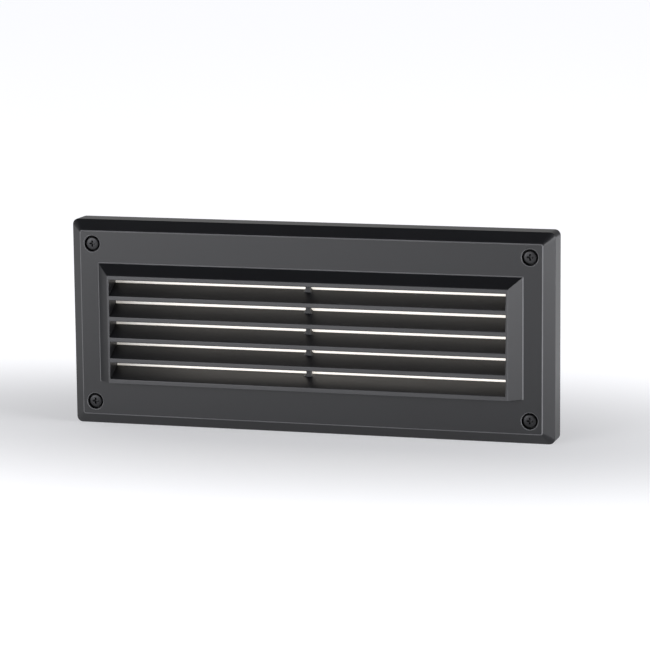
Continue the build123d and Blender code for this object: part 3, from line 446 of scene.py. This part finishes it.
gland = combined(
    threaded(GLAND_X, 0, 44.6, 56.0, 9.9, GLAND_PITCH, GLAND_STEPS),
    threaded(GLAND_X, 0, 60.0, 69.9, 10.4, GLAND_PITCH, GLAND_STEPS), "UNION",
)
hexagon = combined(
    prism(GLAND_X, 0, 54.5, 61.5, ACROSS_FLATS),
    turned(GLAND_X, 0, [(13.2, 54.5), (14.7, 55.3), (14.7, 60.7), (13.2, 61.5)]), "INTERSECT",
)
gland = combined(gland, hexagon, "UNION")
gland_bore = turned(GLAND_X, 0, [(6.8, 40.0), (6.8, 60.0), (7.75, 60.0), (7.75, 75.0)])
gland = combined(gland, gland_bore, "DIFFERENCE")
fit(gland, "gland_stem", gland_nylon, "housing", "gland_nylon", "gland_body")

seal = turned(GLAND_X, 0, [
    (5.3, 60.0), (7.4, 60.0), (7.7, 60.4), (7.7, 71.2),
    (7.3, 71.9), (5.6, 72.0), (5.0, 71.4), (5.0, 60.4),
], tube=True)
fit(seal, "gland_bush", black_rubber, "housing", "black_rubber", "gland_seal")

slip_plastic = coat("slip_plastic", (0.26, 0.26, 0.27), (0.32, 0.32, 0.33), 5, (0.3, 0.4), 0.2, 0.003)
ring = turned(GLAND_X, 0, [
    (5.7, 72.05), (9.0, 72.05), (9.2, 72.25), (9.2, 72.95),
    (9.0, 73.15), (5.7, 73.15), (5.6, 73.0), (5.6, 72.2),
], tube=True)
fit(ring, "gland_slide_ring", slip_plastic, "gland_ring", "slip_ring", "gland_slip_ring")

nut = combined(
    prism(GLAND_X, 0, 61.95, 70.9, ACROSS_FLATS),
    turned(GLAND_X, 0, [(13.4, 61.95), (14.8, 62.7), (14.8, 70.0), (13.2, 70.9)]), "INTERSECT",
)
dome = turned(GLAND_X, 0, [
    (12.3, 70.0), (12.3, 74.2), (12.15, 75.2), (11.7, 76.2),
    (10.9, 77.1), (9.8, 77.7), (8.8, 77.85),
])
nut = combined(nut, dome, "UNION")
nut_bore = turned(GLAND_X, 0, [
    (10.6, 60.0), (10.6, 73.25), (7.4, 73.25), (6.7, 74.5), (6.7, 76.8), (7.6, 79.0),
])
nut = combined(nut, nut_bore, "DIFFERENCE")
fit(nut, "gland_cap_nut", gland_nylon, "gland_nut", "gland_nylon", "gland_nut")

plug = combined(
    threaded(-GLAND_X, 0, 45.6, 56.0, 9.9, GLAND_PITCH, GLAND_STEPS),
    turned(-GLAND_X, 0, [(12.6, 54.5), (12.95, 54.8), (12.95, 57.3), (12.6, 58.1), (11.9, 58.45)]), "UNION",
)
bpy.ops.object.select_all(action="DESELECT")
bpy.ops.mesh.primitive_cube_add(size=MM, location=(-GLAND_X * MM, 58.7 * MM, 0), scale=(16.0, 4.0, 2.4))
slot = bpy.context.object
softened(slot, 0.3)
plug = combined(plug, slot, "DIFFERENCE")
fit(plug, "entry_plug", gland_nylon, "housing", "gland_nylon", "blanking_plug")

# Terminal block: a moulded nylon strip on the back wall, with a screw well and two wire funnels
# for each pole and a screwed ear at each end. The clamp screws are brass with a plain slot.
BLOCK_X, BLOCK_PITCH, EAR_Z, LEAD_Y = 34.5, 8.0, 15.5, 43.0
RECESS_OVER = 0.5


def brick(middle, size, ease):
    """A block with rounded edges, from its middle, its size and the radius in millimetres."""
    bpy.ops.object.select_all(action="DESELECT")
    bpy.ops.mesh.primitive_cube_add(size=MM, location=Vector(middle) * MM, scale=size)
    piece = bpy.context.object
    bpy.ops.object.transform_apply(location=True, rotation=True, scale=True)
    softened(piece, ease)
    open_up(piece)
    return close_up(piece)


def laid(piece, x, y, z, way=1):
    """Turns a piece that runs along Y to run along X, and moves it there, in millimetres."""
    moved = Matrix.Translation(Vector((x, y, z)) * MM)
    piece.data.transform(moved @ Matrix.Rotation(-way * pi / 2, 4, "Z"))
    return piece


def spread(master, places, turn=0.0):
    """One piece that holds a copy of the master at each place in millimetres. Each copy is turned
    about an upright axis."""
    bpy.ops.object.select_all(action="DESELECT")
    for place in places:
        twin = master.copy()
        twin.data = master.data.copy()
        twin.data.transform(Matrix.Translation(Vector(place) * MM) @ Matrix.Rotation(turn, 4, "Z"))
        bpy.context.scene.collection.objects.link(twin)
        twin.select_set(True)
        bpy.context.view_layer.objects.active = twin
    if len(places) > 1:
        bpy.ops.object.join()
    return bpy.context.view_layer.objects.active


def cross_recess(y, depth, wide, narrow):
    """The tapered cross that a driver fits, cut from above a head that faces the viewer."""
    arms = []
    for turn in (0, pi / 2):
        arm = brick((0, y + depth / 2 - RECESS_OVER / 2, 0), (wide, depth + RECESS_OVER, narrow), 0.02)
        for vertex in arm.data.vertices:
            if vertex.co.y > (y + depth / 2) * MM:
                vertex.co.x, vertex.co.z = 0.45 * vertex.co.x, 0.6 * vertex.co.z
        arm.data.transform(Matrix.Rotation(turn, 4, "Y"))
        arms.append(arm)
    return combined(arms[0], arms[1], "UNION")


def small_screw(length):
    """A pan head with a cross recess on a thread-forming shank, with its seat at the origin."""
    head = turned(0, 0, [
        (2.5, 0.0), (2.72, -0.2), (2.72, -0.85), (2.55, -1.3), (2.1, -1.65), (1.4, -1.84), (0.6, -1.88),
    ], 40)
    screw = combined(threaded(0, 0, -0.4, length - 0.6, 1.44, 0.62, 20), head, "UNION")
    point = turned(0, 0, [(1.15, length - 0.7), (1.1, length - 0.5), (0.45, length - 0.02)], 20)
    screw = combined(screw, point, "UNION")
    return combined(screw, cross_recess(-1.88, 1.25, 3.1, 0.75), "DIFFERENCE")


terminal_nylon = coat("terminal_nylon", (0.63, 0.60, 0.52), (0.72, 0.69, 0.61), 7, (0.38, 0.5), 0.3, 0.004)
brass = coat("terminal_brass", (0.56, 0.43, 0.20), (0.70, 0.56, 0.29), 1.5, (0.24, 0.4), 0.12, 0.002, 1.0)
zinc = coat("zinc_steel", (0.50, 0.50, 0.49), (0.66, 0.67, 0.68), 1.8, (0.26, 0.4), 0.1, 0.002, 1.0)


def screw_set(name, node, length, places, body="housing", turn=0.0):
    """All the zinc screws of one node: one is made and copied to its places."""
    master = small_screw(length)
    fit(spread(master, places, turn), name, zinc, body, "zinc_steel", node)
    bpy.data.objects.remove(master)


block = combined(
    brick((BLOCK_X, 42, 0), (22, 14, 24), 0.6),
    brick((BLOCK_X, 47.75, 0), (7, 2.5, 38), 0.7), "UNION",
)
for pole in (-1, 0, 1):
    well = turned(BLOCK_X, pole * BLOCK_PITCH, [(2.9, 34.0), (2.9, 35.0), (2.6, 35.35), (2.6, 39.0)], 48)
    block = combined(block, well, "DIFFERENCE")
    for x, way in ((23.5, 1), (45.5, -1)):
        funnel = turned(0, 0, [(2.1, -1.0), (2.1, 0.0), (1.6, 0.7), (1.6, 7.0)], 40)
        block = combined(block, laid(funnel, x, LEAD_Y, pole * BLOCK_PITCH, way), "DIFFERENCE")
for z in (-EAR_Z, EAR_Z):
    block = combined(block, turned(BLOCK_X, z, [(1.8, 45.0), (1.8, 50.0)], 32), "DIFFERENCE")
for z in (-BLOCK_PITCH / 2, BLOCK_PITCH / 2):
    block = combined(block, brick((BLOCK_X, 35.6, z), (24, 3.2, 0.9), 0.1), "DIFFERENCE")
fit(block, "supply_block", terminal_nylon, "housing", "terminal_nylon", "terminal_block")

clamp_screw = combined(
    turned(0, 0, [(2.2, 39.0), (2.38, 38.8), (2.38, 37.4), (2.2, 37.1), (1.6, 37.0)], 48),
    brick((0, 37.0, 0), (6, 1.9, 0.8), 0.1), "DIFFERENCE",
)
fit(
    spread(clamp_screw, [(BLOCK_X, 0, pole * BLOCK_PITCH) for pole in (-1, 0, 1)]),
    "clamp_screws", brass, "housing", "terminal_brass", "terminal_screws",
)
bpy.data.objects.remove(clamp_screw)
ear_places = [(BLOCK_X, 46.5, z) for z in (-EAR_Z, EAR_Z)]
screw_set("supply_block_screws", "terminal_block_screws", 4.6, ear_places)

# Earth point: a tinned ring tag crimped to the earth lead, held on its boss by one screw.
EARTH_X, EARTH_Z, TAG_Y = -14.0, -24.0, 44.2
tinned = coat("tinned_tag", (0.60, 0.60, 0.58), (0.74, 0.74, 0.72), 1.8, (0.28, 0.42), 0.15, 0.002, 1.0)
tag = turned(EARTH_X, EARTH_Z, [(3.65, 44.2), (3.8, 44.3), (3.8, 44.9), (3.65, 45.0)], 64)
tag = combined(tag, brick((-8.5, 44.6, EARTH_Z), (9, 0.8, 3), 0.15), "UNION")
barrel = turned(0, 0, [
    (1.75, 0.0), (1.95, 0.25), (1.95, 1.5), (1.72, 2.0), (1.72, 3.0), (1.95, 3.5), (1.95, 4.75), (1.75, 5.0),
], 40)
tag = combined(tag, laid(barrel, -6.5, LEAD_Y, EARTH_Z), "UNION")
tag = combined(tag, turned(EARTH_X, EARTH_Z, [(1.6, 43.0), (1.6, 46.0)], 40), "DIFFERENCE")
lead_bore = turned(0, 0, [(1.02, -1.0), (1.02, 6.0)], 32)
tag = combined(tag, laid(lead_bore, -6.5, LEAD_Y, EARTH_Z), "DIFFERENCE")
fit(tag, "earth_ring_tag", tinned, "housing", "tinned_tag", "earth_tag")
screw_set("earth_tag_screw", "earth_screw", 6.0, [(EARTH_X, TAG_Y, EARTH_Z)])

# Reflector tray: white-painted sheet steel folded to a shallow pan, screwed to four posts of the
# box. Its folds are tight and its paint is a little rough.
white_tray = coat("white_tray", (0.76, 0.76, 0.74), (0.84, 0.84, 0.82), 22, (0.34, 0.5), 0.7, 0.01)
fit(eased("reflector_tray", 0.35), "reflector_pan", white_tray, "housing", "white_tray", "reflector_tray")
screw_set("pan_screws", "tray_screws", 8.0, [(x, 1.0, z) for x in (-98, 98) for z in (-26, 26)])

# Light board: white-lacquered aluminium with two rows of twelve chips, screwed flat to the tray.
# Thin tracks under the lacquer link the chips. Each chip is a white cup with yellow phosphor in it.
CHIP_PITCH_X, CHIP_PITCH_Z, CHIP_COUNT, BOARD_Y, TRACK_HALF = 11.6, 16.0, 12, 8.2, 1.1
lacquer = Finish(bpy.data.materials.new("board_white"))
off_row = lacquer.add("Math", {"operation": "ABSOLUTE"}, {0: lacquer.axis("Z")}) - CHIP_PITCH_Z / 2 * MM
track = lacquer.near(off_row, 0.0, TRACK_HALF * MM)
mottle = lacquer.noise(140.0, 3.0)
ground = lacquer.blend(mottle, (0.74, 0.75, 0.73), (0.83, 0.84, 0.82))
tracked = lacquer.blend(0.35 * track, ground, (0.66, 0.62, 0.52))
lacquer.surface(tracked, 0.3 + 0.12 * mottle, track + 0.1 * mottle, 0.04 * MM)
fit(eased("led_board", 0.15), "light_board", lacquer.owner, "housing", "board_white", "led_board")

phosphor = Finish(bpy.data.materials.new("led_phosphor"))
powder = phosphor.noise(900.0, 2.0)
yellow = phosphor.blend(powder, (0.78, 0.60, 0.14), (0.86, 0.70, 0.22))
phosphor.surface(yellow, 0.35 + 0.15 * powder, powder, 0.01 * MM, {
    "Emission Color": (1.0, 0.86, 0.6, 1), "Emission Strength": 3.0,
})
chip_cup = coat("chip_cup", (0.74, 0.74, 0.70), (0.82, 0.82, 0.79), 0.9, (0.3, 0.4), 0.1, 0.002)
bpy.ops.object.select_all(action="DESELECT")
bpy.ops.mesh.primitive_cube_add(size=MM, location=(0, 7.85 * MM, 0), scale=(3.5, 0.7, 2.8))
chip = bpy.context.object
bpy.ops.object.transform_apply(location=True, rotation=True, scale=True)
open_up(chip)
bpy.ops.mesh.select_all(action="DESELECT")
bpy.ops.object.mode_set(mode="OBJECT")
for face in chip.data.polygons:
    face.select = face.normal.y < -0.9
bpy.ops.object.mode_set(mode="EDIT")
bpy.ops.mesh.select_mode(type="FACE")
bpy.ops.mesh.inset(thickness=0.32 * MM)
bpy.ops.mesh.extrude_region_move(TRANSFORM_OT_translate={"value": (0, 0.14 * MM, 0)})
bpy.ops.transform.resize(value=(0.86, 1, 0.86), center_override=(0, 7.64 * MM, 0))
bpy.ops.mesh.select_mode(type="VERT")
bpy.ops.object.mode_set(mode="OBJECT")
chip.data.materials.append(chip_cup)
chip.data.materials.append(phosphor.owner)
chip.data.materials.append(tinned)
for face in chip.data.polygons:
    if face.normal.y < -0.9 and face.center.y > 7.6 * MM:
        face.material_index = 1
    elif abs(face.normal.x) > 0.9 and face.center.y > 7.8 * MM:
        face.material_index = 2
middle = (CHIP_COUNT - 1) / 2
chips = spread(chip, [
    ((column - middle) * CHIP_PITCH_X, 0, row * CHIP_PITCH_Z)
    for column in range(CHIP_COUNT) for row in (-0.5, 0.5)
])
bpy.data.objects.remove(chip)
fit(chips, "light_chips", None, "housing", "led_phosphor", "led_chips")
screw_set("light_board_screws", "led_board_screws", 4.0, [(x, BOARD_Y, 0) for x in (-62, 0, 62)])

# Driver: a potted case of grey plastic behind the tray, with a lug at each end. Its two screws are
# driven in from behind.
driver_case = coat("driver_case", (0.60, 0.61, 0.61), (0.69, 0.70, 0.70), 14, (0.4, 0.55), 0.45, 0.008)
fit(eased("led_driver", 0.7, 3), "potted_driver", driver_case, "housing", "driver_case", "led_driver")
driver_places = [(x, 13.4, z) for x, z in ((-76, 12), (10, -12))]
screw_set("potted_driver_screws", "driver_screws", 3.4, driver_places, turn=pi)

# Leads: stranded copper in soft insulation, each on one smooth line between its two clamps or
# solder pads. The two that feed the board pass the tray through a rubber grommet.
def insulation(name, deep, pale, stripe=None):
    """Soft matt insulation, with an optional second colour on one side of the lead."""
    made = Finish(bpy.data.materials.new(name))
    mottle = made.noise(320.0, 3.0)
    colour = made.blend(mottle, deep, pale)
    if stripe:
        around = made.add("SeparateXYZ", {}, {"Vector": made.add("UVMap", {}, {})}, "Y")
        colour = made.blend(made.near(around, 0.5, 0.2), colour, stripe)
    return made.surface(colour, 0.38 + 0.14 * mottle, mottle, 0.02 * MM)


def lead(route, radius):
    """A lead on one smooth line that its route steers, in millimetres."""
    line = bpy.data.curves.new("lead", "CURVE")
    line.dimensions = "3D"
    line.bevel_depth = radius * MM
    line.bevel_resolution, line.resolution_u = 6, 16
    line.use_fill_caps = True
    spline = line.splines.new("NURBS")
    spline.points.add(len(route) - 1)
    for point, place in zip(spline.points, route):
        point.co = (*(Vector(place) * MM), 1)
    spline.order_u, spline.use_endpoint_u = 3, True
    piece = bpy.data.objects.new("lead", line)
    bpy.context.scene.collection.objects.link(piece)
    bpy.ops.object.select_all(action="DESELECT")
    piece.select_set(True)
    bpy.context.view_layer.objects.active = piece
    bpy.ops.object.convert(target="MESH")
    bpy.ops.object.shade_smooth_by_angle(angle=radians(CORNER))
    return bpy.context.object


for name, slot, z, deep, pale in (
    ("lead_live", "lead_brown", 8, (0.12, 0.05, 0.025), (0.17, 0.075, 0.04)),
    ("lead_neutral", "lead_blue", 0, (0.03, 0.10, 0.36), (0.05, 0.15, 0.46)),
):
    piece = lead([(30.5, LEAD_Y, z), (18.5, LEAD_Y, z), (14.5, LEAD_Y, z), (14.5, 24, z), (6, 24, z)], 1.0)
    fit(piece, name + "_run", insulation(slot + "_cover", deep, pale), "housing", slot, name)
green_yellow = insulation("lead_green_yellow", (0.03, 0.22, 0.05), (0.05, 0.3, 0.08), (0.78, 0.62, 0.04))
earth_route = [
    (30.5, LEAD_Y, -8), (18.5, LEAD_Y, -8), (14.5, LEAD_Y, -8),
    (14.5, LEAD_Y, -24), (10, LEAD_Y, -24), (-4, LEAD_Y, -24),
]
fit(lead(earth_route, 1.0), "lead_earth_run", green_yellow, "housing", "lead_green_yellow", "lead_earth")
for name, slot, z, deep, pale in (
    ("led_lead_positive", "lead_red", 1.5, (0.42, 0.02, 0.02), (0.52, 0.04, 0.03)),
    ("led_lead_negative", "lead_black", -1.5, (0.016, 0.016, 0.017), (0.03, 0.03, 0.031)),
):
    piece = lead([(-72, 24, z), (-78, 24, z), (-78, 12.5, z), (-78, 7.4, z), (-67.5, 7.4, z)], 0.7)
    fit(piece, name + "_run", insulation(slot + "_cover", deep, pale), "housing", slot, name)
grommet = turned(-78, 0, [
    (3.0, 8.9), (4.9, 8.8), (5.2, 9.05), (5.2, 9.6), (4.9, 9.8), (4.0, 9.8),
    (4.0, 11.0), (4.9, 11.0), (5.2, 11.2), (5.2, 11.75), (4.9, 12.0), (3.0, 11.9),
], tube=True)
fit(grommet, "pan_grommet", black_rubber, "housing", "black_rubber", "lead_grommet")

# Seals: soft silicone strips, one between the box and the front and one round the pane. The long
# inner edges of the pane's seal lie further out than in the CAD, clear of the lowest gap.
PANE_Z, SEAL_INSIDE, SEAL_SPREAD = 3.6, 26.3, 1.045
silicone = coat("silicone_seal", (0.50, 0.50, 0.48), (0.58, 0.58, 0.56), 5, (0.48, 0.6), 0.25, 0.01)
fit(eased("housing_gasket", 0.45, 3), "rim_seal", silicone, "housing", "silicone_seal", "housing_gasket")
pane_seal = eased("glass_gasket", 0.2)
for vertex in pane_seal.data.vertices:
    height = vertex.co.z - PANE_Z * MM
    if abs(height) < SEAL_INSIDE * MM:
        vertex.co.z = PANE_Z * MM + SEAL_SPREAD * height
fit(pane_seal, "pane_seal", silicone, "cover", "silicone_seal", "glass_gasket")

# Louvre cover: one aluminium die casting in a satin anthracite powder coat. It is the imported casting
# with the sharp edges outside its grille eased and the rear edge of its sill lowered. A paler coat on
# the front edges of the slats is a painted highlight, and so are the thin pale lines along the edges
# of the flat face.
FACE_DEPTH, EDGE_HIGHLIGHT_MIDDLE, EDGE_HIGHLIGHT_REACH = 16.8, 0.2, 0.18
NOSE_HIGHLIGHT_START, NOSE_HIGHLIGHT_END = -22.3, -22.6
GRILLE_HALF, GRILLE_MIDDLE, GRILLE_RISE = 104, 0.6, 29.0
GRILLE_BOX = ((-103.4, -22.0, -28.9), (103.4, 0, 30.5))
SILL_FRONT, SILL_LOW, SILL_HIGH, SILL_HALF, SILL_DROP = -13.3, -22.4, -21.2, 103.5, 0.7
anthracite = Finish(bpy.data.materials.new("anthracite_coat"))
drift = anthracite.noise(1 / (30 * MM), 3.0)
speckle = anthracite.noise(1 / (0.5 * MM), 2.0)
depth = anthracite.axis("Y")
# Painted highlight: the coat turns paler on the front edges of the slats.
painted_nose_highlight = anthracite.ramp(depth, NOSE_HIGHLIGHT_START * MM, NOSE_HIGHLIGHT_END * MM, 0.0, 1.0)
off_face = anthracite.add("Math", {"operation": "ABSOLUTE"}, {0: depth + FACE_DEPTH * MM})
# Painted highlight: thin pale lines along the edges of the flat face, left off inside the grille.
painted_edge_highlight = anthracite.near(off_face, EDGE_HIGHLIGHT_MIDDLE * MM, EDGE_HIGHLIGHT_REACH * MM)
in_width = anthracite.near(anthracite.axis("X"), 0.0, GRILLE_HALF * MM)
in_height = anthracite.near(anthracite.axis("Z"), GRILLE_MIDDLE * MM, GRILLE_RISE * MM)
painted_edge_highlight = painted_edge_highlight * (1.0 - in_width * in_height)
powder_coat = anthracite.blend(drift, (0.0082, 0.0084, 0.0098), (0.0100, 0.0103, 0.0120))
# The painted highlights are blended over the coat: paler slat edges, then pale lines along the face's edges.
powder_coat = anthracite.blend(painted_nose_highlight * (0.7 + 0.6 * drift), powder_coat, (0.055, 0.055, 0.058))
powder_coat = anthracite.blend(painted_edge_highlight * (0.5 + 0.6 * drift), powder_coat, (0.190, 0.190, 0.197))
anthracite.surface(powder_coat, 0.37 + 0.06 * drift, speckle, 0.004 * MM)
front = eased("louvre_cover", 0.2, inside=GRILLE_BOX)
for vertex in front.data.vertices:
    x, y, z = (value / MM for value in vertex.co)
    if y > SILL_FRONT and SILL_LOW < z < SILL_HIGH and abs(x) < SILL_HALF:
        vertex.co.z -= SILL_DROP * MM
fit(front, "louvre_front", anthracite.owner, "cover", "anthracite_coat", "louvre_cover")

# Glass pane: frosted and warm in tone. It glows by its own emission, a painted glow that stands in
# for the light of the two rows of chips behind it. It is the packed pane, and its painted glow is
# weaker towards its left end.
FADE_START, FADE_END, FADED, PANE_GLOW = -102, -55, 0.4, 0.9
glass = Finish(bpy.data.materials.new("frosted_glass"))
frost = glass.noise(2500.0, 2.0)
# Painted glow, weaker towards the left end of the pane.
fade = glass.ramp(glass.axis("X"), FADE_START * MM, FADE_END * MM, FADED, 1.0)
glass.surface((0.86, 0.87, 0.84, 1), 0.4 + 0.1 * frost, frost, 0.01 * MM, {
    "Emission Color": glass.blend(fade, (0, 0, 0), (1.0, 0.94, 0.86)), "Emission Strength": PANE_GLOW,
})
pane = frame["nodes"]["glass_pane"]
pane.data.materials.clear()
pane.data.materials.append(glass.owner)

# Clips: pieces of spring steel that press the pane on its seal. Each is held by one screw, which is
# driven in from behind.
HEAD_HALF = 2.75
spring_steel = coat("spring_steel", (0.42, 0.42, 0.41), (0.56, 0.56, 0.55), 3, (0.26, 0.38), 0.2, 0.003, 1.0)
fit(eased("glass_clips", 0.16), "pane_clips", spring_steel, "cover", "spring_steel", "glass_clips")
low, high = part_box("glass_clip_screws")
rows = (low[2] / MM + HEAD_HALF, high[2] / MM - HEAD_HALF)
clip_places = [(x, -6.2, z) for x in (-60, 60) for z in rows]
screw_set("pane_clip_screws", "glass_clip_screws", 5.0, clip_places, "cover", pi)

# Cover screws: blackened M4 cheese heads with a cross recess, each on a rubber washer that holds
# it in the cover. One of each is made and copied to the four corners.
SCREW_X, SCREW_Z, SCREW_PITCH = 113.2, 40.5, 0.7
blackened = coat(
    "blackened_steel", (0.018, 0.018, 0.019), (0.035, 0.035, 0.037), 2.5, (0.28, 0.42), 0.1, 0.003, 0.6
)
head = turned(0, 0, [
    (3.1, -13.9), (3.38, -14.1), (3.38, -15.5), (3.3, -15.85), (3.05, -16.12), (2.6, -16.24), (1.2, -16.28),
])
screw = combined(threaded(0, 0, -14.3, 6.0, 1.98, SCREW_PITCH), head, "UNION")
screw = combined(screw, cross_recess(-16.3, 1.4, 3.8, 0.95), "DIFFERENCE")
washer = turned(0, 0, [
    (2.1, -12.75), (3.5, -12.75), (3.68, -12.95), (3.68, -13.65),
    (3.5, -13.85), (2.1, -13.85), (2.03, -13.7), (2.03, -12.9),
], tube=True)
for corner, x, z in (
    ("top_left", -SCREW_X, SCREW_Z), ("top_right", SCREW_X, SCREW_Z),
    ("bottom_left", -SCREW_X, -SCREW_Z), ("bottom_right", SCREW_X, -SCREW_Z),
):
    fit(
        spread(screw, [(x, 0, z)]), f"front_screw_{corner}", blackened,
        f"screw_{corner}", "black_screw", f"cover_screw_{corner}",
    )
    fit(
        spread(washer, [(x, 0, z)]), f"front_washer_{corner}", black_rubber,
        f"washer_{corner}", "black_rubber", f"screw_washer_{corner}",
    )
bpy.data.objects.remove(screw)
bpy.data.objects.remove(washer)
